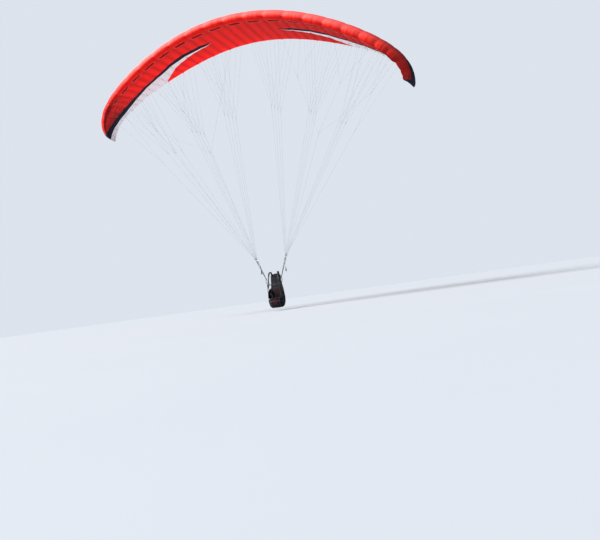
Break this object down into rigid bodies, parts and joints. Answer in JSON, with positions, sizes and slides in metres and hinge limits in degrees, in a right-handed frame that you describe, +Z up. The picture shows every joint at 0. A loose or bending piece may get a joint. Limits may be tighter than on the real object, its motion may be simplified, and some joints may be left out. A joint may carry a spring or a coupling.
{
  "type": "solo paraglider with seat harness",
  "caption": "Ram-air paraglider in level flight: arched cellular canopy, line cascades, risers, brake handles and an empty seat harness.",
  "frame": {"origin": "on the centre chord of the canopy, 30 percent back from its nose, where the air carries the wing", "axes": "+Z up, -Y the way it flies, +X to the pilot's left"},
  "size_m": [9.343, 2.9921, 8.4069],
  "materials": {
    "canopy_cloth": "coated ripstop nylon, satin, red",
    "tip_cloth": "coated ripstop nylon, satin, navy",
    "line": "sheathed aramid line, matte",
    "webbing": "woven polyester webbing, matte black",
    "harness_cloth": "coated heavy nylon, matte black",
    "handle": "sewn webbing, matte red",
    "alloy": "anodised, satin"
  },
  "bodies": {
    "wing": {"brake_pulley_left": "alloy", "brake_pulley_right": "alloy", "canopy_cell_center": "canopy_cloth", "canopy_cell_left_1": "canopy_cloth", "canopy_cell_left_2": "canopy_cloth", "canopy_cell_left_3": "canopy_cloth", "canopy_cell_left_4": "canopy_cloth", "canopy_cell_left_5": "canopy_cloth", "canopy_cell_left_6": "canopy_cloth", "canopy_cell_left_7": "canopy_cloth", "canopy_cell_left_8": "canopy_cloth", "canopy_cell_left_9": "canopy_cloth", "canopy_cell_right_1": "canopy_cloth", "canopy_cell_right_2": "canopy_cloth", "canopy_cell_right_3": "canopy_cloth", "canopy_cell_right_4": "canopy_cloth", "canopy_cell_right_5": "canopy_cloth", "canopy_cell_right_6": "canopy_cloth", "canopy_cell_right_7": "canopy_cloth", "canopy_cell_right_8": "canopy_cloth", "canopy_cell_right_9": "canopy_cloth", "canopy_tip_left": "tip_cloth", "canopy_tip_right": "tip_cloth", "lines_a_left": "line", "lines_a_right": "line", "lines_b_left": "line", "lines_b_right": "line", "lines_brake_left": "line", "lines_brake_right": "line", "lines_c_left": "line", "lines_c_right": "line", "lines_d_left": "line", "lines_d_right": "line", "riser_a_left": "webbing", "riser_a_right": "webbing", "riser_b_left": "webbing", "riser_b_right": "webbing", "riser_c_left": "webbing", "riser_c_right": "webbing", "riser_d_left": "webbing", "riser_d_right": "webbing"},
    "harness": {"carabiner_left": "alloy", "carabiner_right": "alloy", "chest_strap": "webbing", "hang_strap_left": "webbing", "hang_strap_right": "webbing", "harness_back": "harness_cloth", "harness_protector": "harness_cloth", "harness_seat": "harness_cloth", "harness_side_left": "harness_cloth", "harness_side_right": "harness_cloth", "leg_strap_left": "webbing", "leg_strap_right": "webbing", "reserve_handle": "handle", "shoulder_strap_left": "webbing", "shoulder_strap_right": "webbing"},
    "brake_left": {"brake_cord_left": "line", "brake_toggle_left": "webbing"},
    "brake_right": {"brake_cord_right": "line", "brake_toggle_right": "webbing"}
  },
  "joints": [
    {"name": "harness_pitch", "type": "hinge", "parent": "wing", "child": "harness", "pos_m": [0, 0, -7.256], "axis": [1, 0, 0], "range_deg": [-20, 20]},
    {"name": "brake_left_pull", "type": "slide", "parent": "wing", "child": "brake_left", "axis": [0, 0, -1], "range_m": [0, 0.6], "stiffness_N_per_m": 60, "springref_m": -0.1, "deforming": ["brake_cord_left"]},
    {"name": "brake_right_pull", "type": "slide", "parent": "wing", "child": "brake_right", "axis": [0, 0, -1], "range_m": [0, 0.6], "stiffness_N_per_m": 60, "springref_m": -0.1, "deforming": ["brake_cord_right"]}
  ]
}
